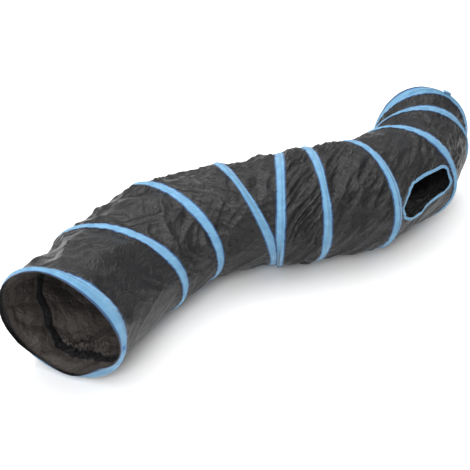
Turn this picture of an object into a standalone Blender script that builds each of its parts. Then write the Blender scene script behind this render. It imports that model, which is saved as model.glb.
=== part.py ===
"""Pop-up agility tunnel for small pets.

Ten spring-wire hoops stand on the floor in an S. Each wire ring is closed by a crimped ferrule and
runs in a channel of sewn tape. Nine cloth panels join the hoops, one of them has a bound peephole,
and both mouths have a hem. Metres, +Z up, the tunnel's length along X, standing on Z = 0.
"""

import math

import bmesh
import bpy
from mathutils import Matrix, Vector

MM = 0.001

# Hoops
HOOP_RADIUS = 122 * MM  # centre line of the wire
WIRE_RADIUS = 1.1 * MM
FERRULE_BORE_RADIUS = 1.35 * MM
FERRULE_RADIUS = 1.75 * MM
FERRULE_LENGTH = 14 * MM
WIRE_END_GAP = 0.6 * MM  # between the wire's two ends, inside the ferrule

# A soft hoop's height over its round height, first hoop to last
HOOP_SET = (1.05, 0.87, 0.88, 0.99, 0.93, 0.97, 0.99, 0.98, 1.01, 1.10)
# Lean of each hoop's top along the way through, in degrees
HOOP_LEAN = (0, 0, 0, -16, 0, 0, 0, 0, 0, 0)

# Tape that carries the wire
TAPE_WIDTH = 20 * MM
TAPE_THICKNESS = 0.8 * MM

# Cloth
CLOTH_THICKNESS = 0.6 * MM
HEM_BEYOND_TAPE = 1.5 * MM

# Peephole: its corners as (share of the way along the panel, degrees above the panel's right side)
PEEPHOLE_PANEL = 7
PEEPHOLE_CORNERS = (
    (0.92, 33),
    (0.955, 15),
    (0.90, 6),
    (0.45, -2),
    (0.27, -7),
    (0.08, 1),
    (0.05, 14),
    (0.27, 31),
    (0.55, 34),
)
CORNER_CUT = 0.15  # share of a side taken off at each corner of the peephole
BINDING_RADIUS = 2.5 * MM
CUTTER_DEPTH = 40 * MM

# Loop for the storage tie, sewn on the last hoop
TIE_LOOP_LENGTH = 20 * MM
TIE_LOOP_HEIGHT = 6 * MM
TIE_LOOP_WIDTH = 10 * MM
TIE_LOOP_THICKNESS = 1.2 * MM
TIE_LOOP_SIDES_FROM_TOP = 2  # how many flats of the hoop the loop stands from its top

# Clearances
STITCH_GAP = 0.3 * MM  # between pieces that are sewn or laid together
CHANNEL_CLEARANCE = 0.2 * MM  # round the ferrule, inside the channel of the flattest hoop
STACK_PITCH = 6 * MM  # wire to wire, with the tunnel pushed flat

CHANNEL_HALF = (FERRULE_RADIUS + CHANNEL_CLEARANCE) / min(HOOP_SET)
CHANNEL_CROWN = 0.65 * FERRULE_RADIUS  # half of the flat over the wire, inside the channel
RIDGE_HALF = CHANNEL_HALF + TAPE_THICKNESS
CLOTH_OUTER = HOOP_RADIUS - STITCH_GAP
CLOTH_INNER = CLOTH_OUTER - CLOTH_THICKNESS
TAPE_TOP = HOOP_RADIUS + RIDGE_HALF
PINCHED_TAPE_GAP = CLOTH_THICKNESS + 2 * STITCH_GAP  # lets the cloth out between two tapes
PINCHED_WING = 0.3 * MM  # what is left of a tape's wing where two hoops are pushed together
PINCHED_SEAM = 2 * (RIDGE_HALF + PINCHED_WING) + PINCHED_TAPE_GAP

# The S: for each panel the turn to the left in degrees, its shortest seam, and how far its far hoop
# stands to the left of straight ahead
BENDS = (
    (0.0, 183 * MM, -16 * MM),
    (-22.0, 103 * MM, -20 * MM),
    (-21.5, 92 * MM, -55 * MM),
    (-28.5, PINCHED_SEAM, 4 * MM),
    (12.0, 46 * MM, 9 * MM),
    (20.5, 70 * MM, -15 * MM),
    (30.5, 67 * MM, -19 * MM),
    (26.0, 32 * MM, -26 * MM),
    (0.0, 45 * MM, -15 * MM),
)
SIDES = 32  # flats round a hoop, a multiple of four, so that one flat lies on the floor
WIRE_BEVEL = 1
FERRULE_SIDES = 12
BINDING_BEVEL = 2

BLUE = (0.20, 0.46, 0.78, 1)
BLACK = (0.035, 0.033, 0.034, 1)
STEEL = (0.55, 0.56, 0.58, 1)
BRASS = (0.62, 0.48, 0.24, 1)

FLAT_SHARE = math.cos(math.pi / SIDES)  # a flat's distance over a corner's


def empty_scene():
    for obj in list(bpy.data.objects):
        bpy.data.objects.remove(obj, do_unlink=True)


def new_collection(name):
    collection = bpy.data.collections.new(name)
    bpy.context.scene.collection.children.link(collection)
    return collection


def new_material(name, colour, roughness, metallic=0.0):
    material = bpy.data.materials.new(name)
    material.use_nodes = True
    shader = material.node_tree.nodes["Principled BSDF"]
    shader.inputs["Base Color"].default_value = colour
    shader.inputs["Roughness"].default_value = roughness
    shader.inputs["Metallic"].default_value = metallic
    return material


def new_piece(name, data, material, collection, parent, frame):
    """A named object whose own axes are frame, in the tunnel's axes, under the empty parent."""
    obj = bpy.data.objects.new(name, data)
    collection.objects.link(obj)
    obj.data.materials.append(material)
    attach(obj, parent, frame)
    return obj


def attach(obj, parent, frame):
    obj.parent = parent
    obj["frame"] = [value for row in frame for value in row]
    obj.matrix_local = frame_of(parent).inverted() @ frame


def frame_of(obj):
    values = list(obj["frame"])
    return Matrix([values[row * 4 : row * 4 + 4] for row in range(4)])


def new_empty(name, collection, parent, frame):
    empty = bpy.data.objects.new(name, None)
    empty.empty_display_size = 0.05
    collection.objects.link(empty)
    attach(empty, parent, frame)
    return empty


def reach_down(lean, height):
    """How far below its centre a hoop's tape meets the floor."""
    outline = tape_outline()
    return max(
        radius * FLAT_SHARE * height * math.cos(lean) + abs(along * math.sin(lean))
        for radius, along in outline
    )


def hoop_frame(x, y, heading, number):
    """Left, up and the way through as a hoop's X, Y and Z, with the hoop standing on the floor."""
    lean = math.radians(HOOP_LEAN[number])
    ahead = Vector((math.cos(heading), math.sin(heading), 0))
    left = Vector((-math.sin(heading), math.cos(heading), 0))
    way = ahead * math.cos(lean) - Vector((0, 0, 1)) * math.sin(lean)
    up = way.cross(left)
    centre = Vector((x, y, reach_down(lean, HOOP_SET[number])))
    frame = Matrix((left, up, way)).transposed().to_4x4()
    frame.translation = centre
    return frame


def hoop_stances():
    """(x, y, heading) of each hoop's centre, walking from the near mouth panel by panel."""
    stances = [(0.0, 0.0, 0.0)]
    for number, (turn_degrees, shortest_seam, aside) in enumerate(BENDS):
        x, y, heading = stances[-1]
        turn = math.radians(turn_degrees)
        lean_change = math.radians(HOOP_LEAN[number + 1] - HOOP_LEAN[number])
        wedge = 2 * HOOP_RADIUS * math.sin(turn / 2)
        tilt = HOOP_RADIUS * math.sin(lean_change)
        along = shortest_seam + math.hypot(wedge, tilt)
        middle = heading + turn / 2
        x += along * math.cos(middle) - aside * math.sin(middle)
        y += along * math.sin(middle) + aside * math.cos(middle)
        stances.append((x, y, heading + turn))
    last_x, last_y, _ = stances[-1]
    swing = -math.atan2(last_y, last_x)
    return [
        (
            x * math.cos(swing) - y * math.sin(swing),
            x * math.sin(swing) + y * math.cos(swing),
            heading + swing,
        )
        for x, y, heading in stances
    ]


def closed_spacing(number):
    """Centre to centre along the way, for a hoop pushed flat against the next one."""
    lean_change = math.radians(HOOP_LEAN[number + 1] - HOOP_LEAN[number])
    return STACK_PITCH + HOOP_RADIUS * abs(math.sin(lean_change))


def closing_pivot(stances, number):
    """Where the upright axis stands about which the next hoop turns until it lies flat against this one.

    None for two parallel hoops, which slide together instead."""
    x, y, heading = stances[number]
    next_x, next_y, next_heading = stances[number + 1]
    turn = heading - next_heading
    if abs(turn) < math.radians(1):
        return None
    spacing = closed_spacing(number)
    shut = Vector((x + spacing * math.cos(heading), y + spacing * math.sin(heading)))
    rotation = Matrix.Rotation(turn, 2)
    moved = shut - rotation @ Vector((next_x, next_y))
    return (Matrix.Identity(2) - rotation).inverted() @ moved


def tape_outline():
    """(radius, place along the way) round the tape's section: two flat wings and a ridge over the wire."""
    wing = HOOP_RADIUS + TAPE_THICKNESS
    half = TAPE_WIDTH / 2
    outer = [(wing, half), (wing, RIDGE_HALF), (TAPE_TOP, CHANNEL_HALF)]
    outer += [(radius, -along) for radius, along in reversed(outer)]
    inner = [(HOOP_RADIUS, -half), (HOOP_RADIUS, -CHANNEL_HALF)]
    inner += [(HOOP_RADIUS + CHANNEL_HALF, -CHANNEL_CROWN)]
    inner += [(radius, -along) for radius, along in reversed(inner)]
    return outer + inner


def turned_mesh(name, outline, sides, start_angle=0.0):
    """A closed outline of (radius, place along Z) turned round Z."""
    profile = bpy.data.meshes.new(name + "_profile")
    corners = [(radius, 0, along) for radius, along in outline]
    edges = [(i, (i + 1) % len(corners)) for i in range(len(corners))]
    profile.from_pydata(corners, edges, [])
    holder = bpy.data.objects.new(name + "_profile", profile)
    bpy.context.scene.collection.objects.link(holder)
    screw = holder.modifiers.new("turn", "SCREW")
    screw.steps = sides
    screw.render_steps = sides
    screw.use_merge_vertices = True
    screw.merge_threshold = 0.00001
    bpy.context.view_layer.update()
    evaluated = holder.evaluated_get(bpy.context.evaluated_depsgraph_get())
    mesh = bpy.data.meshes.new_from_object(evaluated)
    mesh.name = name
    mesh.transform(Matrix.Rotation(start_angle, 4, "Z"))
    bpy.data.objects.remove(holder)
    bpy.data.meshes.remove(profile)
    smooth(mesh)
    return mesh


def smooth(mesh):
    mesh.shade_smooth()
    mesh.set_sharp_from_angle(angle=math.radians(35))


def hoop_turned(name, outline, number):
    """An outline turned round a hoop, with a flat at the foot, then set to the hoop's soft oval."""
    mesh = turned_mesh(name, outline, SIDES, math.pi / SIDES)
    height = HOOP_SET[number]
    mesh.transform(Matrix.Diagonal((1 / height, height, 1, 1)))
    return mesh


def room_beside(frames, number, other, point):
    """How far a point of one hoop can spread before it meets the middle plane to the other hoop."""
    way = frames[number].col[2].xyz
    other_way = frames[other].col[2].xyz
    reach = other_way.dot(frames[other].translation - point)
    return abs(reach) / (1 + way.dot(other_way))


def wing_width(frames, number, other, corner):
    """From a hoop's middle to the edge of its tape, which gathers where the two hoops are pushed together."""
    room = room_beside(frames, number, other, frames[number] @ corner)
    return min(TAPE_WIDTH / 2, room - PINCHED_TAPE_GAP / 2)


def squeeze_tape(mesh, frames, number):
    for vertex in mesh.vertices:
        x, y, along = vertex.co
        other = number + 1 if along > 0 else number - 1
        if abs(along) <= RIDGE_HALF or not 0 <= other < len(frames):
            continue
        width = wing_width(frames, number, other, Vector((x, y, 0)))
        share = (abs(along) - RIDGE_HALF) / (TAPE_WIDTH / 2 - RIDGE_HALF)
        spread = RIDGE_HALF + share * (width - RIDGE_HALF)
        vertex.co.z = math.copysign(spread, along)


def hoop_corner(number, radius, angle):
    height = HOOP_SET[number]
    return Vector((radius * math.cos(angle) / height, radius * math.sin(angle) * height, 0))


def wire_curve(name, number):
    """The wire's polygon, open in the middle of the top flat, where the ferrule joins its ends."""
    side = 2 * math.pi / SIDES
    first = math.pi / 2 + side / 2
    corners = [hoop_corner(number, HOOP_RADIUS, first + i * side) for i in range(SIDES)]
    top = corners[0].y
    end = Vector((WIRE_END_GAP / 2, top, 0))
    points = [Vector((-end.x, top, 0)), *corners, end]
    return poly_curve(name, points, WIRE_RADIUS, WIRE_BEVEL, closed=False)


def poly_curve(name, points, radius, bevel_resolution, closed):
    curve = bpy.data.curves.new(name, "CURVE")
    curve.dimensions = "3D"
    curve.bevel_depth = radius
    curve.bevel_resolution = bevel_resolution
    curve.use_fill_caps = not closed
    spline = curve.splines.new("POLY")
    spline.points.add(len(points) - 1)
    for spot, point in zip(spline.points, points):
        spot.co = (*point, 1)
    spline.use_cyclic_u = closed
    spline.use_smooth = True
    return curve


def ferrule_mesh(name):
    half = FERRULE_LENGTH / 2
    outline = [
        (FERRULE_RADIUS, half),
        (FERRULE_RADIUS, -half),
        (FERRULE_BORE_RADIUS, -half),
        (FERRULE_BORE_RADIUS, half),
    ]
    return turned_mesh(name, outline, FERRULE_SIDES)


def ferrule_frame(number):
    """On the top flat of a hoop, along the wire, in the hoop's own axes."""
    top = HOOP_RADIUS * FLAT_SHARE * HOOP_SET[number]
    return Matrix.Translation((0, top, 0)) @ Matrix.Rotation(math.pi / 2, 4, "Y")


def build_hoop(number, frames, parent, collection, materials):
    label = f"{number + 1:02d}"
    frame = frames[number]
    wire = wire_curve(f"wire_hoop_{label}", number)
    new_piece(wire.name, wire, materials["steel"], collection, parent, frame)
    ferrule = ferrule_mesh(f"ferrule_{label}")
    place = frame @ ferrule_frame(number)
    new_piece(ferrule.name, ferrule, materials["brass"], collection, parent, place)
    tape = hoop_turned(f"tape_{label}", tape_outline(), number)
    squeeze_tape(tape, frames, number)
    new_piece(tape.name, tape, materials["tape"], collection, parent, frame)


def hem_outline():
    start = CHANNEL_HALF
    end = TAPE_WIDTH / 2 + HEM_BEYOND_TAPE
    return [
        (CLOTH_OUTER, end),
        (CLOTH_OUTER, start),
        (CLOTH_INNER, start),
        (CLOTH_INNER, end),
    ]


def build_hem(name, number, outwards, frames, parent, collection, materials):
    """The cloth's folded edge at a mouth, half under the tape."""
    mesh = hoop_turned(name, hem_outline(), number)
    if outwards < 0:
        mesh.transform(Matrix.Rotation(math.pi, 4, "Y"))
    new_piece(name, mesh, materials["cloth"], collection, parent, frames[number])


def cloth_line(frames, panel, angle, radius):
    """A panel's cloth at one angle: hoop, tape's edge, next tape's edge, next hoop, in the tunnel's axes."""
    points = []
    for number, other in ((panel - 1, panel), (panel, panel - 1)):
        corner = hoop_corner(number, radius, angle)
        towards = other - number
        edge = wing_width(frames, number, other, corner) + STITCH_GAP
        for inset in (CHANNEL_HALF, edge):
            points.append(frames[number] @ (corner + Vector((0, 0, inset * towards))))
    return [points[0], points[1], points[3], points[2]]


def cloth_rings(mesh, frames, panel, radius):
    side = 2 * math.pi / SIDES
    lines = [cloth_line(frames, panel, (i + 0.5) * side, radius) for i in range(SIDES)]
    return [[mesh.verts.new(point) for point in ring] for ring in zip(*lines)]


def panel_mesh(name, frames, panel):
    """A thin wall lofted from one hoop to the next, which stand at an angle to each other."""
    work = bmesh.new()
    rings = cloth_rings(work, frames, panel, CLOTH_OUTER)
    rings += reversed(cloth_rings(work, frames, panel, CLOTH_INNER))
    for this_ring, next_ring in zip(rings, rings[1:] + rings[:1]):
        for i in range(SIDES):
            j = (i + 1) % SIDES
            work.faces.new((this_ring[i], this_ring[j], next_ring[j], next_ring[i]))
    bmesh.ops.recalc_face_normals(work, faces=work.faces)
    bmesh.ops.triangulate(work, faces=work.faces)
    mesh = bpy.data.meshes.new(name)
    work.to_mesh(mesh)
    work.free()
    smooth(mesh)
    return mesh


def build_panel(panel, frames, parent, collection, materials):
    name = f"panel_{panel:02d}"
    mesh = panel_mesh(name, frames, panel)
    mesh.transform(frames[panel - 1].inverted())
    return new_piece(name, mesh, materials["cloth"], collection, parent, frames[panel - 1])


def cut_corners(points, rounds):
    """Rounds a closed outline by cutting each corner a share of the way along its two sides."""
    for _ in range(rounds):
        softer = []
        for here, ahead in zip(points, points[1:] + points[:1]):
            softer += [here.lerp(ahead, CORNER_CUT), here.lerp(ahead, 1 - CORNER_CUT)]
        points = softer
    return points


def peephole_line(frames):
    """The middle of the binding, on the cloth's middle surface."""
    corners = [Vector(corner) for corner in PEEPHOLE_CORNERS]
    middle = (CLOTH_OUTER + CLOTH_INNER) / 2
    line = []
    for share, above in cut_corners(corners, 2):
        run = cloth_line(frames, PEEPHOLE_PANEL, math.pi - math.radians(above), middle)
        line.append(run[1].lerp(run[2], share))
    return line


def peephole_frame(line):
    """At the peephole's middle, with Z out of the cloth."""
    middle = sum(line, Vector()) / len(line)
    normal = sum(
        ((a - middle).cross(b - middle) for a, b in zip(line, line[1:] + line[:1])),
        Vector(),
    ).normalized()
    frame = normal.to_track_quat("Z", "Y").to_matrix().to_4x4()
    frame.translation = middle
    return frame


def spread_outline(points, distance):
    """Moves each point of a closed flat outline outwards, square to its neighbours' line."""
    spread = []
    for before, here, after in zip(points[-1:] + points[:-1], points, points[1:] + points[:1]):
        run = (after - before).normalized()
        spread.append(here + Vector((run.y, -run.x)) * distance)
    return spread


def cutter_curve(name, line, frame):
    flat = [(frame.inverted() @ point).xy for point in line]
    outline = spread_outline(flat, BINDING_RADIUS + STITCH_GAP)
    curve = bpy.data.curves.new(name, "CURVE")
    curve.dimensions = "2D"
    curve.fill_mode = "BOTH"
    curve.extrude = CUTTER_DEPTH / 2
    spline = curve.splines.new("POLY")
    spline.points.add(len(outline) - 1)
    for spot, point in zip(spline.points, outline):
        spot.co = (point.x, point.y, 0, 1)
    spline.use_cyclic_u = True
    return curve


def mesh_from_curve(curve, frame):
    holder = bpy.data.objects.new(curve.name, curve)
    bpy.context.scene.collection.objects.link(holder)
    bpy.context.view_layer.update()
    evaluated = holder.evaluated_get(bpy.context.evaluated_depsgraph_get())
    mesh = bpy.data.meshes.new_from_object(evaluated)
    bpy.data.objects.remove(holder)
    work = bmesh.new()
    work.from_mesh(mesh)
    bmesh.ops.remove_doubles(work, verts=work.verts, dist=0.00001)
    bmesh.ops.recalc_face_normals(work, faces=work.faces)
    work.to_mesh(mesh)
    work.free()
    mesh.transform(frame)
    return mesh


def cut_peephole(panel, frames, parent, collection, cutters, materials):
    line = peephole_line(frames)
    frame = peephole_frame(line)
    mesh = mesh_from_curve(cutter_curve("peephole_cutter", line, frame), frame)
    cutter = bpy.data.objects.new("peephole_cutter", mesh)
    cutters.objects.link(cutter)
    attach(cutter, parent, Matrix.Identity(4))
    cutter.hide_render = True
    cutter.display_type = "WIRE"
    cut = panel.modifiers.new("peephole", "BOOLEAN")
    cut.operation = "DIFFERENCE"
    cut.solver = "EXACT"
    cut.object = cutter
    points = [frame.inverted() @ point for point in line]
    curve = poly_curve("peephole_binding", points, BINDING_RADIUS, BINDING_BEVEL, closed=True)
    new_piece(curve.name, curve, materials["tape"], collection, parent, frame)


def racetrack(length, height):
    """A closed outline with round ends, standing on y = 0."""
    radius = height / 2
    straight = length / 2 - radius
    steps = 6
    right = [
        (straight + radius * math.cos(angle), radius + radius * math.sin(angle))
        for angle in (math.pi * (i / steps - 0.5) for i in range(steps + 1))
    ]
    return right + [(-x, height - y) for x, y in right]


def tie_loop_curve(name):
    curve = bpy.data.curves.new(name, "CURVE")
    curve.dimensions = "2D"
    curve.fill_mode = "BOTH"
    curve.extrude = TIE_LOOP_WIDTH / 2
    inset = 2 * TIE_LOOP_THICKNESS
    inner = racetrack(TIE_LOOP_LENGTH - inset, TIE_LOOP_HEIGHT - inset)
    inner = [(x, y + TIE_LOOP_THICKNESS) for x, y in inner]
    for outline in (racetrack(TIE_LOOP_LENGTH, TIE_LOOP_HEIGHT), inner):
        spline = curve.splines.new("POLY")
        spline.points.add(len(outline) - 1)
        for spot, (x, y) in zip(spline.points, outline):
            spot.co = (x, y, 0, 1)
        spline.use_cyclic_u = True
    return curve


def build_tie_loop(frames, parent, collection, materials):
    """A folded loop of tape lying on one of the last hoop's flats."""
    number = len(frames) - 1
    side = 2 * math.pi / SIDES
    middle = math.pi / 2 + TIE_LOOP_SIDES_FROM_TOP * side
    ends = [hoop_corner(number, TAPE_TOP, middle + turn) for turn in (-side / 2, side / 2)]
    along = (ends[0] - ends[1]).normalized()
    out = Vector((-along.y, along.x, 0))
    place = Matrix((along, out, Vector((0, 0, 1)))).transposed().to_4x4()
    place.translation = (ends[0] + ends[1]) / 2 + out * STITCH_GAP
    curve = tie_loop_curve("tie_loop")
    new_piece(curve.name, curve, materials["tape"], collection, parent, frames[number] @ place)


def joint_frame(stances, number):
    """On the axis of the joint that closes a panel: its pivot, or its far hoop if it slides."""
    pivot = closing_pivot(stances, number)
    x, y, heading = stances[number + 1]
    if pivot is None:
        return Matrix.Translation((x, y, 0)) @ Matrix.Rotation(heading, 4, "Z")
    return Matrix.Translation((pivot.x, pivot.y, 0))


def centre_on_floor(root, collection):
    """Puts the origin at the middle of the tunnel's box, on the floor."""
    bpy.context.view_layer.update()
    graph = bpy.context.evaluated_depsgraph_get()
    corners = []
    for obj in collection.objects:
        if obj.type == "EMPTY":
            continue
        seen = obj.evaluated_get(graph)
        mesh = seen.to_mesh()
        corners += [seen.matrix_world @ vertex.co for vertex in mesh.vertices]
        seen.to_mesh_clear()
    low = [min(corner[axis] for corner in corners) for axis in range(3)]
    high = [max(corner[axis] for corner in corners) for axis in range(3)]
    root.location = (-(low[0] + high[0]) / 2, -(low[1] + high[1]) / 2, -low[2])


def make_materials():
    return {
        "tape": new_material("blue_tape", BLUE, 0.55),
        "cloth": new_material("black_taffeta", BLACK, 0.42),
        "steel": new_material("spring_steel", STEEL, 0.3, 1.0),
        "brass": new_material("crimped_brass", BRASS, 0.35, 1.0),
    }


def build_tunnel():
    empty_scene()
    collection = new_collection("agility_tunnel")
    cutters = new_collection("cutters")
    materials = make_materials()
    root = bpy.data.objects.new("tunnel_root", None)
    root["frame"] = [value for row in Matrix.Identity(4) for value in row]
    collection.objects.link(root)
    stances = hoop_stances()
    frames = [hoop_frame(x, y, heading, i) for i, (x, y, heading) in enumerate(stances)]
    parent = root
    for number in range(len(frames)):
        if number:
            name = f"close_panel_{number:02d}"
            parent = new_empty(name, collection, parent, joint_frame(stances, number - 1))
        build_hoop(number, frames, parent, collection, materials)
        if number == 0:
            build_hem("near_mouth_hem", 0, -1, frames, parent, collection, materials)
        if number == len(frames) - 1:
            build_hem("far_mouth_hem", number, 1, frames, parent, collection, materials)
            build_tie_loop(frames, parent, collection, materials)
            continue
        panel = build_panel(number + 1, frames, parent, collection, materials)
        if number + 1 == PEEPHOLE_PANEL:
            cut_peephole(panel, frames, parent, collection, cutters, materials)
    centre_on_floor(root, collection)


build_tunnel()
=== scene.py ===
"""A pop-up pet tunnel: ten taped spring hoops joined by nine panels of black taffeta."""

import math

import bpy
import numpy as np
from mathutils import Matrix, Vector, kdtree


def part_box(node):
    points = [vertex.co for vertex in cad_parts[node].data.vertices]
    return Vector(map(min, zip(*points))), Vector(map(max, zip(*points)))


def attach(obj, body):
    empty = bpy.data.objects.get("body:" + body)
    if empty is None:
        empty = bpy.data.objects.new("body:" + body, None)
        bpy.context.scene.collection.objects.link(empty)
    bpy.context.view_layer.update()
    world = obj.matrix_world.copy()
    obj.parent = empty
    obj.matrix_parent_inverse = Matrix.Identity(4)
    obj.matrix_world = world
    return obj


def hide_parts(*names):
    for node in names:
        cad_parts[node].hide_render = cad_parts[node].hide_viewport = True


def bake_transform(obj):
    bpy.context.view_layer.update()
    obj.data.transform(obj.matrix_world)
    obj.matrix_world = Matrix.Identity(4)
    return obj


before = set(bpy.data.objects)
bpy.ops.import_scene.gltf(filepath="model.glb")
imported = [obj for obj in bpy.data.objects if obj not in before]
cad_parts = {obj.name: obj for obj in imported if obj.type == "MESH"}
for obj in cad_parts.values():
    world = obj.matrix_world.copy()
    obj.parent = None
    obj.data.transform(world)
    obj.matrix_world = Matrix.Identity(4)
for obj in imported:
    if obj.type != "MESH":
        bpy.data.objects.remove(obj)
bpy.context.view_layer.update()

MM = 0.001
HOOPS = 10
WIRE_RADIUS = 1.1 * MM
CLOTH_BELOW_WIRE = 0.5 * MM
CLOTH_THICKNESS = 0.35 * MM
TAPE_HALF_WIDTH = 10 * MM
TAPE_THICKNESS = 0.55 * MM
SEWN_AT = 6.4 * MM  # from the wire to each row of stitches
TAPE_OVER_CLOTH = 0.55 * MM
TAPE_OVER_WIRE = 2.3 * MM
RIDGE_SPREAD = 3.2 * MM
BAND_STEPS = 11  # rows from the wire to a tape's edge
STITCH_STEPS = 25  # rows from which the row of stitches is picked
CHANNEL_THICKNESS = 0.6 * MM
CHANNEL_SHARE = 0.92  # of the tape's width
HEM_PAST_TAPE = 1.0 * MM
HEM_THICKNESS = 0.8 * MM
HEM_STEPS = 14
BINDING_INWARDS = 2.6 * MM  # from the outline into the opening
BINDING_OUTWARDS = 4.4 * MM
BINDING_THICKNESS = 1.9 * MM
BINDING_SEAM = 2.9 * MM  # from the outline to the stitches
LOOP_HALF_LENGTH = 9.0 * MM
LOOP_HALF_HEIGHT = 1.5 * MM
LOOP_HALF_WIDTH = 4.9 * MM
LOOP_THICKNESS = 1.1 * MM
LOOP_TURN = math.radians(22.5)  # past the last hoop's top
WEAVE = 0.42 * MM
PANEL_GRID = 2.4 * MM  # from row to row of a panel's cloth
FLOOR_GAP = 0.3 * MM
ROUND_STEPS = 360
SHARP_FOLD = math.radians(65)
PANEL_START = 0.31  # metres of pattern from one panel to the next, so that no two are alike
HEM_START = 5.0  # the same for the hems, past the last panel's


# ---------------------------------------------------------------- camera, floor and light


def place_camera():
    """Stands beside the near mouth and looks along the tunnel, down on it."""
    data = bpy.data.cameras.new("camera")
    camera = bpy.data.objects.new("camera", data)
    bpy.context.scene.collection.objects.link(camera)
    data.sensor_width = 36.0
    data.lens = 53.19
    data.shift_x = -0.0032
    camera.location = (-0.7873, -0.8791, 0.997)
    pitch = math.radians(38.47)
    ahead = Vector((0.6349, 0.7726, 0)).normalized() * math.cos(pitch)
    look = Vector((ahead.x, ahead.y, -math.sin(pitch)))
    camera.rotation_euler = look.to_track_quat("-Z", "Y").to_euler()
    bpy.context.scene.camera = camera


def area_light(name, place, aim, size, power):
    data = bpy.data.lights.new(name, "AREA")
    data.shape = "DISK"
    data.size = size
    data.energy = power
    light = bpy.data.objects.new(name, data)
    bpy.context.scene.collection.objects.link(light)
    light.location = place
    look = Vector(aim) - Vector(place)
    light.rotation_euler = look.to_track_quat("-Z", "Y").to_euler()


def light_studio():
    world = bpy.data.worlds.new("studio")
    bpy.context.scene.world = world
    world.use_nodes = True
    sky = world.node_tree.nodes["Background"]
    sky.inputs["Color"].default_value = (1.0, 1.0, 1.0, 1)
    sky.inputs["Strength"].default_value = 0.55
    area_light("overhead", (0.3, 0.3, 2.6), (0.3, 0.3, 0), 4.6, 96)
    area_light("key", (-0.35, 0.75, 1.9), (0, 0, 0.1), 0.5, 22)
    area_light("front", (-1.45, -1.1, 1.7), (-0.2, 0, 0.1), 0.9, 24)


# ---------------------------------------------------------------- material maker


class Number:
    """A number in a material, on which Python's own signs work."""

    def __init__(self, finish, socket):
        self.finish = finish
        self.socket = socket

    def joined(self, operation, *others):
        inputs = dict(enumerate([self, *others]))
        node = self.finish.node("ShaderNodeMath", {"operation": operation}, inputs)
        return Number(self.finish, node.outputs[0])

    def swapped(self, operation, other):
        node = self.finish.node("ShaderNodeMath", {"operation": operation}, {0: other, 1: self})
        return Number(self.finish, node.outputs[0])

    def __add__(self, other):
        return self.joined("ADD", other)

    __radd__ = __add__

    def __sub__(self, other):
        return self.joined("SUBTRACT", other)

    def __rsub__(self, other):
        return self.swapped("SUBTRACT", other)

    def __mul__(self, other):
        return self.joined("MULTIPLY", other)

    __rmul__ = __mul__

    def __abs__(self):
        return self.joined("ABSOLUTE")

    def wave(self, length):
        """A ripple that repeats once in each length."""
        return (self * (2 * math.pi / length)).joined("SINE")

    def between(self, low, high):
        """0 below low, 1 above high."""
        settings = {"interpolation_type": "SMOOTHSTEP"}
        inputs = {"Value": self, "From Min": low, "From Max": high}
        node = self.finish.node("ShaderNodeMapRange", settings, inputs)
        return Number(self.finish, node.outputs["Result"])


def add_node(tree, kind, settings=None, inputs=None):
    """Adds a node, with its settings and then the values or links of its sockets."""
    node = tree.nodes.new(kind)
    for name, value in (settings or {}).items():
        setattr(node, name, value)
    for name, value in (inputs or {}).items():
        socket = node.inputs[name]
        if isinstance(value, Number):
            value = value.socket
        if isinstance(value, bpy.types.NodeSocket):
            tree.links.new(value, socket)
        else:
            socket.default_value = value
    return node


class Finish:
    """A material being made from nodes."""

    def __init__(self, name):
        self.material = bpy.data.materials.new(name)
        self.material.use_nodes = True
        self.tree = self.material.node_tree
        self.tree.nodes.clear()

    def node(self, kind, settings=None, inputs=None):
        return add_node(self.tree, kind, settings, inputs)

    def across(self):
        """Metres round the hoop and metres along the cloth."""
        uv = self.node("ShaderNodeUVMap", {"uv_map": "cloth"})
        split = self.node("ShaderNodeSeparateXYZ", inputs={0: uv.outputs["UV"]})
        return Number(self, split.outputs["X"]), Number(self, split.outputs["Y"])

    def place(self):
        """The cloth's own place, which has no seam and follows the cloth as it folds."""
        node = self.node("ShaderNodeAttribute", {"attribute_name": "cloth_place"})
        return node.outputs["Vector"]

    def object_place(self):
        return self.node("ShaderNodeTexCoord").outputs["Object"]

    def noise(self, place, scale, detail=3.0, roughness=0.55, distortion=0.0):
        inputs = {"Vector": place, "Scale": scale, "Detail": detail}
        inputs["Roughness"] = roughness
        inputs["Distortion"] = distortion
        node = self.node("ShaderNodeTexNoise", inputs=inputs)
        return Number(self, node.outputs["Fac"])

    def blend(self, share, first, second):
        """A colour between two, each a colour or a socket."""
        first, second = ((*tone, 1) if isinstance(tone, tuple) else tone for tone in (first, second))
        settings = {"data_type": "RGBA"}
        inputs = {0: share, 6: first, 7: second}
        return self.node("ShaderNodeMix", settings, inputs).outputs[2]

    def bump(self, height, strength, distance):
        inputs = {"Height": height, "Strength": strength, "Distance": distance}
        return self.node("ShaderNodeBump", inputs=inputs).outputs["Normal"]

    def cover(self, **inputs):
        """Ends the material in its shader."""
        named = {name.replace("_", " "): value for name, value in inputs.items()}
        shader = self.node("ShaderNodeBsdfPrincipled", inputs=named)
        surface = {"Surface": shader.outputs["BSDF"]}
        self.node("ShaderNodeOutputMaterial", inputs=surface)
        return self.material


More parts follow.
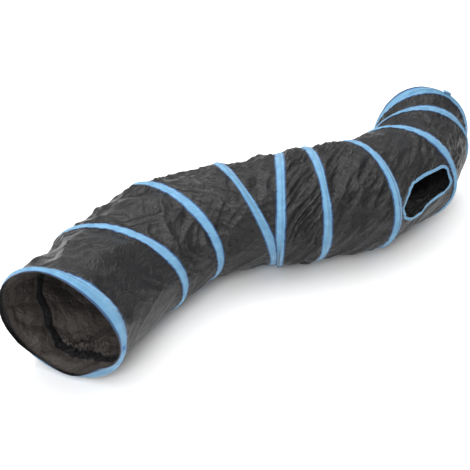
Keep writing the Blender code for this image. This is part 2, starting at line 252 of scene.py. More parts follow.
def taffeta_finish(name, dark, light, gloss):
    """Coated polyester taffeta: a plain weave with a soft gloss, creased and slightly dusty."""
    finish = Finish(name)
    around, along = finish.across()
    place = finish.place()
    weave = around.wave(WEAVE) * along.wave(WEAVE)
    slub = finish.noise(place, 900.0, 2.0)
    crumple = finish.noise(place, 48.0, 3.0, 0.55, 0.8)
    crease = 1 - abs(crumple - 0.5).between(0.0, 0.10)
    soft = finish.noise(place, 120.0, 3.0, 0.6, 0.5)
    cloud = finish.noise(place, 14.0, 3.0)
    tone = (cloud - 0.5) * 1.1 + (slub - 0.5) * 0.6 + crease * 0.15 + 0.4
    colour = finish.blend(tone, dark, light)
    rough = gloss + cloud * 0.14 + slub * 0.06
    height = weave * 0.04 + crease * 0.6 + soft * 0.9 + crumple * 2.0
    normal = finish.bump(height, 0.8, 0.0016)
    return finish.cover(
        Base_Color=colour,
        Roughness=rough,
        Normal=normal,
        Sheen_Weight=0.04,
        Sheen_Roughness=0.3,
        Specular_IOR_Level=0.31,
    )


def tape_finish():
    """Light blue woven tape: cross ribs, a darker navy edge that is partly the woven edge and partly a
    painted shadow where the tape stands over the cloth, and a worn, uneven blue.
    """
    finish = Finish("blue_tape")
    around, along = finish.across()
    place = finish.place()
    ribs = around.wave(0.9 * MM)
    threads = along.wave(0.55 * MM)
    cloud = finish.noise(place, 42.0, 3.0)
    fibre = finish.noise(place, 700.0, 2.0)
    # edge darkens the tape's outer edge to navy: partly its darker woven edge, partly a painted shadow
    # where the tape stands over the cloth
    edge = abs(along).between(TAPE_HALF_WIDTH - 2.8 * MM, TAPE_HALF_WIDTH - 2.0 * MM)
    sewn = 1 - abs(abs(along) - SEWN_AT).between(0.1 * MM, 0.7 * MM)
    tone = (cloud - 0.5) * 1.5 + (fibre - 0.5) * 0.5 + ribs * 0.05 + 0.5
    blue = finish.blend(tone, (0.064, 0.185, 0.32), (0.165, 0.345, 0.51))
    shaded = finish.blend(edge * 0.9, blue, (0.012, 0.04, 0.12))
    colour = finish.blend(sewn * 0.22, shaded, (0.06, 0.20, 0.50))
    height = ribs * 0.30 + threads * 0.10 + fibre * 0.35 - sewn * 1.1 + cloud * 1.2
    normal = finish.bump(height, 0.5, 0.0006)
    return finish.cover(
        Base_Color=colour,
        Roughness=0.62 + (fibre - 0.5) * 0.2,
        Normal=normal,
        Sheen_Weight=0.25,
        Sheen_Roughness=0.4,
        Specular_IOR_Level=0.35,
    )


def thread_finish(name, dark, light):
    """Twisted polyester thread."""
    finish = Finish(name)
    place = finish.object_place()
    twist = finish.noise(place, 2400.0, 1.0)
    colour = finish.blend(twist, dark, light)
    normal = finish.bump(twist, 0.4, 0.0002)
    return finish.cover(Base_Color=colour, Roughness=0.5 + twist * 0.2, Normal=normal)


def metal_finish(name, dark, light, roughness):
    """Drawn metal with a fine grain and a few dull spots."""
    finish = Finish(name)
    place = finish.object_place()
    grain = finish.noise(place, 1400.0, 3.0)
    spots = finish.noise(place, 160.0, 4.0)
    colour = finish.blend(grain * 0.5 + spots * 0.5, dark, light)
    rough = roughness + spots * 0.2
    normal = finish.bump(grain, 0.2, 0.0001)
    return finish.cover(Base_Color=colour, Roughness=rough, Metallic=1.0, Normal=normal)


def floor_finish():
    finish = Finish("pale_floor")
    dust = finish.noise(finish.object_place(), 3.0, 2.0)
    colour = finish.blend(dust, (0.90, 0.90, 0.90), (0.93, 0.93, 0.93))
    return finish.cover(Base_Color=colour, Roughness=0.85)


# ---------------------------------------------------------------- hoops


def unit(vectors):
    return vectors / np.linalg.norm(vectors, axis=-1, keepdims=True)


def dots(first, second):
    return (first * second).sum(axis=-1, keepdims=True)


class Hoop:
    """One wire hoop: its middle, its left, up and way through, and its height over its round height."""

    def __init__(self, number):
        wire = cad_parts[f"wire_hoop_{number:02d}"].data
        places = np.empty(len(wire.vertices) * 3)
        wire.vertices.foreach_get("co", places)
        places = places.reshape(-1, 3)
        middle = (places.max(axis=0) + places.min(axis=0)) / 2
        _, _, axes = np.linalg.svd(places - places.mean(axis=0), full_matrices=False)
        way = axes[2] * (1 if axes[2][0] > 0 else -1)
        left = unit(np.cross((0.0, 0.0, 1.0), way))
        up = np.cross(way, left)
        across = (places - middle) @ left
        tall = (places - middle) @ up
        half_width = (across.max() - across.min()) / 2 - WIRE_RADIUS
        half_height = (tall.max() - tall.min()) / 2 - WIRE_RADIUS
        self.middle = middle
        self.left, self.up, self.way = left, up, way
        self.radius = math.sqrt(half_width * half_height)
        self.height = math.sqrt(half_height / half_width)

    def ring(self, angles, radius, along=0.0):
        """Points at angles from the hoop's left, over the top."""
        across = (radius * np.cos(angles) / self.height)[..., None] * self.left
        tall = (radius * np.sin(angles) * self.height)[..., None] * self.up
        return self.middle + across + tall + self.way * along

    def outward(self, angles):
        across = (np.cos(angles) * self.height)[..., None] * self.left
        tall = (np.sin(angles) / self.height)[..., None] * self.up
        return unit(across + tall)


def body(number):
    return f"hoop_{number:02d}"


hoops = [Hoop(number) for number in range(1, HOOPS + 1)]
ROUND = 2 * math.pi * hoops[0].radius
full_turn = np.arange(ROUND_STEPS) * (2 * math.pi / ROUND_STEPS)


# ---------------------------------------------------------------- folds in the cloth


def noise(places, seed):
    """Smooth noise from about -1 to 1 at an array of places."""
    random = np.random.default_rng(seed)
    table = random.permutation(256)
    slopes = unit(random.normal(size=(256, 3)))
    cell = np.floor(places).astype(int)
    inside = places - cell
    fade = inside**3 * (inside * (inside * 6 - 15) + 10)
    total = np.zeros(places.shape[:-1])
    for corner in np.ndindex(2, 2, 2):
        near = cell + corner
        pick = table[near[..., 0] & 255]
        pick = table[(pick + near[..., 1]) & 255]
        pick = table[(pick + near[..., 2]) & 255]
        share = np.where(corner, fade, 1 - fade).prod(axis=-1)
        total += share * (slopes[pick] * (inside - corner)).sum(axis=-1)
    return total * 1.6


def smooth_step(values):
    held = np.clip(values, 0, 1)
    return held * held * (3 - 2 * held)


def wrapped(angles, along, size, slant=0.0, drawn=1.0):
    """Places for noise that closes round the tunnel: size across, and drawn out along a slant."""
    radius = hoops[0].radius
    twisted = angles + slant * along / radius
    across = [radius * np.cos(twisted) / size, radius * np.sin(twisted) / size]
    return np.stack([*across, along / (size * drawn)], axis=-1)


def crests(angles, along, size, slant, drawn, seed):
    """Folds with a narrow crest and a round valley, from 0 to 1."""
    bend = 0.45 * noise(wrapped(angles, along, size * 3.1), seed + 50)[..., None]
    value = noise(wrapped(angles, along, size, slant, drawn) + bend, seed)
    return np.clip(1 - np.abs(value) * 2.2, 0, 1) ** 1.6


def facets(angles, along, size, slant, drawn, seed):
    """Flat slopes that meet in sharp creases, about -0.6 to 0.5."""
    bend = 0.5 * noise(wrapped(angles, along, size * 2.3), seed + 50)[..., None]
    value = noise(wrapped(angles, along, size, slant, drawn) + bend, seed)
    return 0.5 - 2.2 * np.abs(value)


def dents(angles, along, size, seed):
    """The irregular facets of crumpled taffeta, about -1 to 1."""
    wide = noise(wrapped(angles, along, size * 1.3), seed)
    sharp = facets(angles, along, size, 0.5, 1.3, seed + 1)
    other = facets(angles, along, size * 0.55, -0.7, 1.5, seed + 2)
    return wide * 0.9 + sharp * 0.8 + other * 0.3


def turn_from(angles, degrees):
    """Degrees from a place round the hoop, by the short way."""
    return np.degrees(np.angle(np.exp(1j * (angles - math.radians(degrees)))))


def spot(angles, share, degrees, place, spread_degrees, spread_share):
    """1 at a place on a panel, fading out round it."""
    turn = turn_from(angles, degrees)
    return np.exp(-((turn / spread_degrees) ** 2) - ((share - place) / spread_share) ** 2)


# For each panel: height and size of its crumples, then height, spacing and slant of its drawn folds,
# then how far its waist is drawn in, all in millimetres but the slant
CLOTH_SET = (
    (9.0, 72, 1.4, 38, 0.7, 4.0),
    (8.5, 60, 2.0, 32, 0.8, 1.5),
    (8.0, 56, 2.8, 32, 0.9, 2.0),
    (6.0, 46, 3.0, 28, 0.5, 1.5),
    (3.6, 40, 9.0, 30, 1.2, -0.5),
    (6.0, 48, 4.0, 30, 1.1, 0.5),
    (6.0, 50, 2.4, 32, 0.6, 2.0),
    (3.6, 36, 3.4, 28, 0.2, 1.0),
    (2.2, 30, 1.8, 22, 0.3, 0.5),
)
# Bigger folds: panel, degrees round, share along, spread in degrees and share, height in millimetres
LUMPS = (
    (5, 78, 0.26, 16, 0.20, 8.0),
    (5, 86, 0.62, 12, 0.15, -7.0),
    (5, 160, 0.45, 18, 0.30, -3.0),
    (1, 120, 0.72, 24, 0.16, 3.0),
    (1, 335, 0.62, 40, 0.16, -5.0),
    (1, 225, 0.25, 14, 0.12, -7.0),
    (2, 110, 0.40, 22, 0.20, 2.0),
    (4, 108, 0.55, 18, 0.25, -2.0),
    (6, 150, 0.35, 20, 0.25, 2.0),
    (7, 84, 0.45, 22, 0.25, 2.0),
    (7, 0, 0.50, 45, 0.25, -12.0),
    (8, 345, 0.50, 52, 0.26, -16.0),
    (9, 243, 0.52, 58, 0.42, -42.0),
    (9, 300, 0.50, 40, 0.30, -16.0),
)
# Where slack cloth lies bunched inside: panel, degrees, share along, spread in degrees and share, height
BUNCHES = (
    (1, 274, 0.33, 24, 0.14, 11.0),
    (1, 250, 0.80, 40, 0.14, 6.0),
    (8, 300, 0.50, 50, 0.40, 6.0),
)
# Where the cloth stands off its wire: hoop, degrees round, spread in degrees, millimetres
SLACK = ((1, 152, 34, 9.0), (1, 250, 30, -4.0))


def slack_of(number, angles):
    slack = np.zeros(angles.shape)
    for hoop, degrees, wide, most in SLACK:
        if hoop == number:
            slack += most * MM * spot(angles, 0, degrees, 0, wide, 1)
    return slack


def bared(angles):
    """Crumples are deep over the top and the back, and shallow low on the near side."""
    turn = np.degrees(angles) % 360
    low_side = smooth_step((turn - 150) / 40) * smooth_step((250 - turn) / 40)
    return 1 - 0.68 * low_side


def rise_of(panel, angles, share, length):
    """How far the cloth stands out of the straight line from hoop to hoop."""
    crumple, crumple_size, fold, spacing, slant, waist = CLOTH_SET[panel - 1]
    along = share * length
    far = length - along
    free = smooth_step((along - 4 * MM) / (20 * MM)) * smooth_step((far - 4 * MM) / (20 * MM))
    seed = 10 * panel
    path = along + panel * PANEL_START
    rise = crumple * MM * dents(angles, path, crumple_size * MM, seed) * free * bared(angles)
    drawn = crests(angles, path, spacing * MM, slant, 5.0, seed + 3)
    fine = crests(angles, path, spacing * 0.45 * MM, slant * 0.8, 6.0, seed + 4)
    rise += fold * MM * (drawn + 0.35 * fine - 0.45) * free
    rise -= waist * MM * 4 * share * (1 - share)
    rise += slack_of(panel, angles) * np.exp(-((along / (34 * MM)) ** 2))
    for number, degrees, place, wide, long, height in LUMPS:
        if number == panel:
            rise += height * MM * spot(angles, share, degrees, place, wide, long) * free
    for number, degrees, place, wide, long, height in BUNCHES:
        if number == panel:
            heap = crests(angles, path, 13 * MM, 0.5, 1.6, seed + 7)
            heap += 0.5 * crests(angles, path, 7 * MM, -0.8, 2.0, seed + 8)
            rise -= height * MM * heap * spot(angles, share, degrees, place, wide, long) * free
    for distance, number in ((along, 5), (far, 6)):
        round_it = np.full(path.shape, float(panel + number))
        pull = crests(angles, round_it, 11 * MM, 0.0, 1.0, seed + number)
        gather = np.exp(-(((distance - 9 * MM) / (13 * MM)) ** 2)) * smooth_step(distance / (6 * MM))
        rise += 1.5 * MM * (pull - 0.4) * gather
    return rise


def cloth(panel, angles, share, lift=0.0):
    """Points on a panel's cloth, raised by lift."""
    first, second = hoops[panel - 1], hoops[panel]
    start = first.ring(angles, first.radius - CLOTH_BELOW_WIRE)
    end = second.ring(angles, second.radius - CLOTH_BELOW_WIRE)
    run = end - start
    length = np.linalg.norm(run, axis=-1)
    share_out = share[..., None]
    out = unit((1 - share_out) * first.outward(angles) + share_out * second.outward(angles))
    line = unit(run)
    out = unit(out - line * dots(out, line))
    rise = rise_of(panel, angles, share, length) + lift
    points = start + run * share_out + out * rise[..., None]
    points[..., 2] = np.maximum(points[..., 2], FLOOR_GAP)
    return points


def seam_length(panel, angles):
    """From hoop to hoop along the cloth, at each angle."""
    first, second = hoops[panel - 1], hoops[panel]
    start = first.ring(angles, first.radius)
    return np.linalg.norm(second.ring(angles, second.radius) - start, axis=-1)


# ---------------------------------------------------------------- mesh making


def normals_of(points):
    """Outward normals of a strip that closes round the tunnel: rows run along it."""
    around = np.roll(points, -1, axis=1) - np.roll(points, 1, axis=1)
    along = np.gradient(points, axis=0)
    return unit(np.cross(around, along) + 1e-15)


def shell_faces(rows, columns, gone):
    """Quads of a closed shell from an outer and an inner strip that close round.

    gone marks the quads that are left out."""
    row, column = np.meshgrid(np.arange(rows - 1), np.arange(columns), indexing="ij")
    after = (column + 1) % columns
    here, beside = row * columns + column, row * columns + after
    outer = np.stack([here, beside, beside + columns, here + columns], axis=-1).reshape(-1, 4)
    under = rows * columns
    out_of_it = outer[gone.reshape(-1)]
    outer = outer[~gone.reshape(-1)]
    inner = outer[:, ::-1] + under
    rim = np.arange(columns)
    next_rim = (rim + 1) % columns
    first = np.stack([rim, rim + under, next_rim + under, next_rim], axis=-1)
    top = (rows - 1) * columns
    last = np.stack([rim, next_rim, next_rim + under, rim + under], axis=-1) + top
    walls = hole_walls(outer, out_of_it, under)
    return np.concatenate([outer, inner, first, last, walls])


def hole_walls(kept, out_of_it, under):
    """The cut edge of a hole, from the outer face of the cloth to the inner."""
    walls = []
    if len(out_of_it):
        edges = {(a, b) for face in kept for a, b in zip(face, np.roll(face, -1))}
    for face in out_of_it:
        for a, b in zip(face, np.roll(face, -1)):
            if (b, a) in edges:
                walls.append((a, b, b + under, a + under))
    return np.array(walls, int).reshape(-1, 4)


def new_object(name, vertices, faces, material):
    mesh = bpy.data.meshes.new(name)
    mesh.vertices.add(len(vertices))
    mesh.vertices.foreach_set("co", np.asarray(vertices, float).ravel())
    mesh.loops.add(4 * len(faces))
    mesh.loops.foreach_set("vertex_index", np.asarray(faces).ravel())
    mesh.polygons.add(len(faces))
    mesh.polygons.foreach_set("loop_start", np.arange(len(faces)) * 4)
    mesh.update(calc_edges=True)
    mesh.validate()
    mesh.shade_smooth()
    mesh.set_sharp_from_angle(angle=SHARP_FOLD)
    obj = bpy.data.objects.new(name, mesh)
    bpy.context.scene.collection.objects.link(obj)
    mesh.materials.append(material)
    return obj


def store(obj, name, kind, values):
    attribute = obj.data.attributes.new(name, kind, "POINT")
    key = "vector" if kind == "FLOAT_VECTOR" else "value"
    attribute.data.foreach_set(key, np.asarray(values, np.float32).ravel())


def give_uv(obj, coordinates):
    layer = obj.data.uv_layers.new(name="cloth")
    layer.data.foreach_set("uv", np.asarray(coordinates, np.float32).ravel())


def strip(name, points, angles, distance, thickness, material, gone=None, inside_finish=None, ridge=None):
    """A sheet that closes round the tunnel. distance is each point's place along the cloth.

    gone marks cells that are cut out, lining is the inner face's finish, and ridge is the row on the
    wire with the ways it faces. Returns the piece and the number in the sheet of each of its points."""
    rows, columns = points.shape[:2]
    if gone is None:
        gone = np.zeros((rows - 1, columns), bool)
    normals = normals_of(points)
    if ridge is not None:
        row, outward = ridge
        normals[row] = outward
    outer = points + normals * thickness / 2
    inner = points - normals * thickness / 2
    inner[..., 2] = np.maximum(inner[..., 2], FLOOR_GAP)
    vertices = np.concatenate([outer.reshape(-1, 3), inner.reshape(-1, 3)])
    faces = shell_faces(rows, columns, gone)
    used, faces = np.unique(faces, return_inverse=True)
    faces = faces.reshape(-1, 4)
    obj = new_object(name, vertices[used], faces, material)
    if inside_finish:
        obj.data.materials.append(inside_finish)
        inside = (used[faces] >= rows * columns).all(axis=1)
        obj.data.polygons.foreach_set("material_index", inside.astype(np.int32))
    grid = used % (rows * columns)
    corners = (grid % columns)[faces]
    wraps = (corners.max(axis=1) - corners.min(axis=1)) > columns / 2
    around = corners / columns * ROUND
    around[wraps] = np.where(corners[wraps] < columns / 2, around[wraps] + ROUND, around[wraps])
    along = distance.reshape(-1)[grid][faces]
    give_uv(obj, np.stack([around.ravel(), along.ravel()], axis=-1))
    radius = hoops[0].radius
    spread = np.broadcast_to(angles, points.shape[:2])
    place = np.stack([radius * np.cos(spread), radius * np.sin(spread), distance], axis=-1)
    store(obj, "cloth_place", "FLOAT_VECTOR", place.reshape(-1, 3)[grid])
    return obj, grid


def bend_with(obj, panel, weights):
    """Bakes a piece's transform into its mesh; weights are not used."""
    body(panel + 1)
    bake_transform(obj)


# ---------------------------------------------------------------- panels


PEEPHOLE_PANEL = 7
DARK_INSIDE = 6  # the first panel whose inside keeps the plain dark taffeta, without the painted light of the nearer insides
# Share of the way along the panel between its tapes, and degrees above its right side
PEEPHOLE_CORNERS = (
    (0.92, 33), (0.955, 15), (0.90, 6), (0.45, -2), (0.27, -7),
    (0.08, 1), (0.05, 14), (0.27, 31), (0.55, 34),
)


def cut_corners(points, rounds, cut=0.15):
    for _ in range(rounds):
        ahead = np.roll(points, -1, axis=0)
        softer = [points * (1 - cut) + ahead * cut, points * cut + ahead * (1 - cut)]
        softer = np.stack(softer, axis=1)
        points = softer.reshape(-1, points.shape[1])
    return points


def peephole_outline():
    """(angle, share of the way from hoop to hoop) round the binding's middle."""
    corners = cut_corners(np.array(PEEPHOLE_CORNERS, float), 2)
    angles = math.pi - np.radians(corners[:, 1])
    length = seam_length(PEEPHOLE_PANEL, angles)
    edge = TAPE_HALF_WIDTH / length
    return np.stack([angles, edge + corners[:, 0] * (1 - 2 * edge)], axis=-1)


def inside_outline(outline, angles, share):
    """Which places lie inside a closed outline."""
    found = np.zeros(angles.shape, bool)
    for (x1, y1), (x2, y2) in zip(outline, np.roll(outline, -1, axis=0)):
        crosses = (y1 > share) != (y2 > share)
        reach = (x2 - x1) * (share - y1) / (y2 - y1 + 1e-12) + x1
        found ^= crosses & (angles < reach)
    return found


def panel_rows(panel):
    longest = seam_length(panel, full_turn).max()
    return max(20, int(longest / PANEL_GRID))


def under_wire(distance):
    """The cloth dips under the wire at a hoop."""
    return -1.3 * MM * np.exp(-((distance / (2.4 * MM)) ** 2))


def make_panel(panel, material, inside_finish):
    share = np.linspace(0, 1, panel_rows(panel))[:, None]
    angles, shares = np.broadcast_arrays(full_turn[None, :], share)
    length = seam_length(panel, full_turn)[None, :]
    dip = under_wire(shares * length) + under_wire((1 - shares) * length)
    points = cloth(panel, angles, shares, dip)
    distance = shares * length + panel * PANEL_START
    gone = peephole_cells(angles, shares) if panel == PEEPHOLE_PANEL else None
    name = f"panel_cloth_{panel:02d}"
    obj, grid = strip(name, points, angles, distance, CLOTH_THICKNESS, material, gone, inside_finish)
    bend_with(obj, panel, shares.reshape(-1)[grid])
    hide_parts(f"panel_{panel:02d}")
    seam = seam_length(panel, full_turn)


def peephole_cells(angles, shares):
    """The cells of panel cloth that lie inside the peephole's binding."""
    held = inside_outline(peephole_outline(), angles, shares)
    beside = np.roll(held, -1, axis=1)
    return held[:-1] & held[1:] & beside[:-1] & beside[1:]


# ---------------------------------------------------------------- tapes


def tape_lift(distance):
    """The tape lies on the cloth and rides over the wire."""
    ridge = np.exp(-((distance / RIDGE_SPREAD) ** 2))
    return TAPE_OVER_CLOTH + (TAPE_OVER_WIRE + CLOTH_BELOW_WIRE) * ridge


# Where a folded tape sits wide or narrow: hoop, degrees round, spread in degrees, millimetres more
WIDER = (
    (1, 142, 30, 4.5), (1, 228, 24, 5.0), (1, 85, 20, -2.5),
    (2, 130, 28, 1.8), (2, 205, 24, -4.0), (2, 60, 20, -1.5),
    (3, 105, 34, 1.6), (3, 205, 22, -3.0),
    (4, 110, 20, -2.0), (4, 170, 24, 1.2),
    (5, 90, 18, 1.4), (5, 150, 24, 0.8),
    (6, 125, 14, -2.0), (6, 180, 16, 1.6), (6, 205, 12, -1.5),
    (7, 95, 20, -2.4), (7, 175, 26, 1.8),
    (8, 62, 26, -3.5), (8, 135, 24, 2.6), (8, 185, 20, -4.5),
    (9, 52, 24, -5.5), (9, 105, 20, 1.0), (9, 160, 22, -5.0),
    (10, 62, 26, 3.0), (10, 108, 18, -2.5), (10, 165, 20, 2.0),
)


MOST_OF_SEAM = 0.49  # that one tape covers, so that two tapes on a pinched seam don't meet


def tape_width(number, panel):
    """From the hoop to the tape's edge at each angle; it gathers where two hoops are pushed together."""
    waver = noise(wrapped(full_turn, full_turn * 0 + number, 16 * MM), 300 + number)
    broad = noise(wrapped(full_turn, full_turn * 0 + number, 90 * MM), 360 + number)
    wide = TAPE_HALF_WIDTH + 0.55 * MM * waver + 1.1 * MM * broad
    for hoop, degrees, spread, more in WIDER:
        if hoop == number:
            wide = wide + more * MM * spot(full_turn, 0, degrees, 0, spread, 1)
    if not 1 <= panel < HOOPS:
        return wide
    return np.minimum(wide, seam_length(panel, full_turn) * MOST_OF_SEAM)


def panel_beside(number, side):
    """The panel on one side of a hoop: 0 or HOOPS past a mouth."""
    return number if side > 0 else number - 1


def half_name(number, side):
    return f"{number:02d}_{'near' if side < 0 else 'far'}"


def band_points(number, panel, steps, width, lift_of):
    """A band's half on one panel: points, shares along the panel and angles."""
    distance = np.linspace(0, 1, steps)[:, None] * width[None, :]
    length = seam_length(panel, full_turn)[None, :]
    share = distance / length
    if number > panel:
        share = 1 - share
    angles = np.broadcast_to(full_turn[None, :], share.shape)
    pucker = noise(wrapped(angles, distance + number, 13 * MM, 0.2, 1.4), 400 + number)
    lift = lift_of(distance) + 0.3 * MM * pucker * smooth_step(distance / (4 * MM))
    return cloth(panel, angles, share, lift), share, angles


# How the cloth past the end wires curls in: hoop, degrees round, spread in degrees, curl in degrees
CURLS = ((1, 232, 30, 78), (1, 300, 30, 55), (1, 140, 30, 38), (10, 62, 30, -35), (10, 270, 60, 25))


def curl_of(number, angles):
    curl = np.zeros(angles.shape)
    for hoop, degrees, wide, most in CURLS:
        if hoop == number:
            curl += math.radians(most) * np.exp(-((turn_from(angles, degrees) / wide) ** 2))
    return curl


def end_points(number, outwards, width, lift_of, steps):
    """A strip at a mouth that runs outwards from the hoop to its width at each angle."""
    hoop = hoops[number - 1]
    distance = np.linspace(0, 1, steps)[:, None] * width[None, :]
    angles = np.broadcast_to(full_turn[None, :], distance.shape)
    curl = curl_of(number, angles) * smooth_step(distance / (5 * MM))
    base = hoop.ring(angles, hoop.radius - CLOTH_BELOW_WIRE)
    base = base + (distance * np.cos(curl) * outwards)[..., None] * hoop.way
    pull = noise(wrapped(angles, distance + number, 14 * MM), 500 + number)
    lift = lift_of(distance) * np.cos(curl) + 0.35 * MM * pull * smooth_step(distance / (5 * MM))
    lift = lift + slack_of(number, angles)
    inward = distance * np.sin(curl)
    points = base + (lift - inward)[..., None] * hoop.outward(angles)
    points = points + (lift_of(distance) * np.sin(curl) * outwards)[..., None] * hoop.way
    points[..., 2] = np.maximum(points[..., 2], FLOOR_GAP)
    return points, distance, angles


def make_band_half(number, side, label, width, lift_of, thickness, material):
    """One half of a band round a hoop, from the wire to its edge.

    side is -1 towards the near mouth and 1 away from it. The piece follows the cloth it is sewn to."""
    panel = panel_beside(number, side)
    share = None
    if 1 <= panel < HOOPS:
        points, share, angles = band_points(number, panel, BAND_STEPS, width, lift_of)
    else:
        points, _, angles = end_points(number, side, width, lift_of, BAND_STEPS)
    woven = np.linspace(0, side * TAPE_HALF_WIDTH, BAND_STEPS)[:, None]
    woven = np.broadcast_to(woven, angles.shape)
    if side < 0:
        points, woven, angles = points[::-1], woven[::-1], angles[::-1]
        share = None if share is None else share[::-1]
    name = f"{label}_{half_name(number, side)}_half"
    ridge = (-1 if side < 0 else 0, hoops[number - 1].outward(full_turn))
    obj, grid = strip(name, points, angles, woven, thickness, material, ridge=ridge)
    if share is None:
        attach(obj, body(number))
    else:
        bend_with(obj, panel, share.reshape(-1)[grid])
    return obj


def make_tape_half(number, side, material):
    """The woven blue tape on one side of a hoop."""
    panel = panel_beside(number, side)
    width = tape_width(number, panel)
    obj = make_band_half(number, side, "tape", width, tape_lift, TAPE_THICKNESS, material)
    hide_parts(f"tape_{number:02d}")


def channel_lift(distance):
    """The black strip inside the hoop hangs a little below the cloth, most at the wire."""
    return -1.2 * MM - 2.4 * MM * np.exp(-((distance / (4.5 * MM)) ** 2))


# Where the middle of the dark strip inside the first panel runs: degrees round, share of the first panel
DARK_STRIP_LINE = (
    (-100, 0.26), (-80, 0.22), (-60, 0.27), (-40, 0.38), (-20, 0.50), (0, 0.62),
    (30, 0.80), (60, 0.95), (90, 1.0), (180, 1.0),
    (190, 0.70), (205, 0.22), (225, 0.14), (245, 0.17), (260, 0.26),
)


def make_dark_strip(material):
    """A dark strip, 18 mm wide, on the inside of the first panel: it runs from the second hoop's seam
    out across the panel towards the mouth, a little below the cloth.
    """
    degrees = (np.degrees(full_turn) + 100) % 360 - 100
    middle = np.interp(degrees, *zip(*DARK_STRIP_LINE))
    length = seam_length(1, full_turn)
    half = 9 * MM
    offset = np.linspace(-half, half, BAND_STEPS)[:, None]
    share = np.clip(middle[None, :] + offset / length[None, :], 0.02, 0.999)
    angles = np.broadcast_to(full_turn[None, :], share.shape)
    lift = -3.2 * MM * (1 - 0.5 * (offset / half) ** 2)
    points = cloth(1, angles, share, lift)
    woven = np.broadcast_to(offset, share.shape)
    name = f"inner_channel_{half_name(2, -1)}_half"
    obj, grid = strip(name, points, angles, woven, CHANNEL_THICKNESS, material)
    bend_with(obj, 1, share.reshape(-1)[grid])


def make_channel_half(number, side, material):
    """The black strip that covers the seam inside a hoop: partly the real seam cover, partly painted
    shade where the tape outside keeps light from shining through the cloth.
    """
    panel = panel_beside(number, side)
    width = tape_width(number, panel) * CHANNEL_SHARE
    obj = make_band_half(
        number, side, "inner_channel", width, channel_lift, CHANNEL_THICKNESS, material
    )


def hem_lift(distance):
    return under_wire(distance) - 0.1 * MM


def make_hem(name, number, side, material):
    """The cloth's turned edge, which shows past the tape at a mouth."""
    waver = noise(wrapped(full_turn, full_turn * 0 + number, 18 * MM), 320 + number)
    reach = tape_width(number, panel_beside(number, side)) + 1.1 * MM + 0.5 * MM * waver
    points, distance, angles = end_points(number, side, reach, hem_lift, HEM_STEPS)
    signed = distance * side
    if side < 0:
        points, signed, angles = points[::-1], signed[::-1], angles[::-1]
    obj, _ = strip(name + "_cloth", points, angles, signed + HEM_START, HEM_THICKNESS, material)
    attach(obj, body(number))
    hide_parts(name)
    flat = (ROUND, TAPE_HALF_WIDTH + HEM_PAST_TAPE)


# ---------------------------------------------------------------- stitches


def stitch_tree():
    """Lays stitches end to end along a line."""
    tree = bpy.data.node_groups.new("stitch_row", "GeometryNodeTree")
    face = tree.interface
    face.new_socket("Line", in_out="INPUT", socket_type="NodeSocketGeometry")
    lengths = {"Pitch": 3.2 * MM, "Stitch Length": 2.5 * MM, "Thread Radius": 0.28 * MM}
    for label, value in lengths.items():
        socket = face.new_socket(label, in_out="INPUT", socket_type="NodeSocketFloat")
        socket.default_value = value
    face.new_socket("Seed", in_out="INPUT", socket_type="NodeSocketInt").default_value = 1
    face.new_socket("Thread", in_out="INPUT", socket_type="NodeSocketMaterial")
    face.new_socket("Stitches", in_out="OUTPUT", socket_type="NodeSocketGeometry")
    source = tree.nodes.new("NodeGroupInput").outputs

    def add(kind, inputs, **settings):
        return add_node(tree, kind, settings, inputs).outputs

    curve = add("GeometryNodeMeshToCurve", {"Mesh": source["Line"]})
    spacing = {"Curve": curve["Curve"], "Length": source["Pitch"]}
    spots = add("GeometryNodeCurveToPoints", spacing, mode="LENGTH")
    bead = add("GeometryNodeMeshIcoSphere", {"Radius": 1.0, "Subdivisions": 2})
    half = add("ShaderNodeMath", {0: source["Stitch Length"], 1: 0.5}, operation="MULTIPLY")
    radius = source["Thread Radius"]
    size = add("ShaderNodeCombineXYZ", {"X": half[0], "Y": radius, "Z": radius})
    least_and_most = {2: 0.85, 3: 1.12, "Seed": source["Seed"]}
    vary = add("FunctionNodeRandomValue", least_and_most, data_type="FLOAT")
    scaled = add("ShaderNodeVectorMath", {0: size[0], "Scale": vary[1]}, operation="SCALE")
    turn = add("FunctionNodeAlignRotationToVector", {"Vector": spots["Tangent"]}, axis="X")
    laid = {"Points": spots["Points"], "Instance": bead["Mesh"]}
    laid |= {"Rotation": turn["Rotation"], "Scale": scaled[0]}
    copies = add("GeometryNodeInstanceOnPoints", laid)
    real = add("GeometryNodeRealizeInstances", {"Geometry": copies["Instances"]})
    dyed = {"Geometry": real["Geometry"], "Material": source["Thread"]}
    finish = add("GeometryNodeSetMaterial", dyed)
    add("NodeGroupOutput", {"Stitches": finish["Geometry"]})
    return tree


def socket_named(tree, label):
    """The identifier that a modifier knows an input by."""
    for item in tree.interface.items_tree:
        if item.item_type == "SOCKET" and item.in_out == "INPUT" and item.name == label:
            return item.identifier
    return None


def sew(name, line, tree, thread, seed, closed=True, **sizes):
    """Real stitches along a line of points."""
    mesh = bpy.data.meshes.new(name + "_line")
    count = len(line)
    last = count if closed else count - 1
    edges = [(i, (i + 1) % count) for i in range(last)]
    mesh.from_pydata([tuple(point) for point in line], edges, [])
    obj = bpy.data.objects.new(name + "_line", mesh)
    bpy.context.scene.collection.objects.link(obj)
    modifier = obj.modifiers.new("stitches", "NODES")
    modifier.node_group = tree
    modifier[socket_named(tree, "Seed")] = seed
    modifier[socket_named(tree, "Thread")] = thread
    for label, value in sizes.items():
        modifier[socket_named(tree, label.replace("_", " "))] = value
    bpy.context.view_layer.update()
    graph = bpy.context.evaluated_depsgraph_get()
    made = bpy.data.meshes.new_from_object(obj.evaluated_get(graph))
    bpy.data.objects.remove(obj)
    bpy.data.meshes.remove(mesh)
    made.name = name
    made.shade_smooth()
    sewn = bpy.data.objects.new(name, made)
    bpy.context.scene.collection.objects.link(sewn)
    return sewn


def nearest_weights(obj, line, weights):
    """For each point of a piece, the weight of the nearest point of a line."""
    tree = kdtree.KDTree(len(line))
    for number, point in enumerate(line):
        tree.insert(point, number)
    tree.balance()
    return [weights[tree.find(vertex.co)[1]] for vertex in obj.data.vertices]


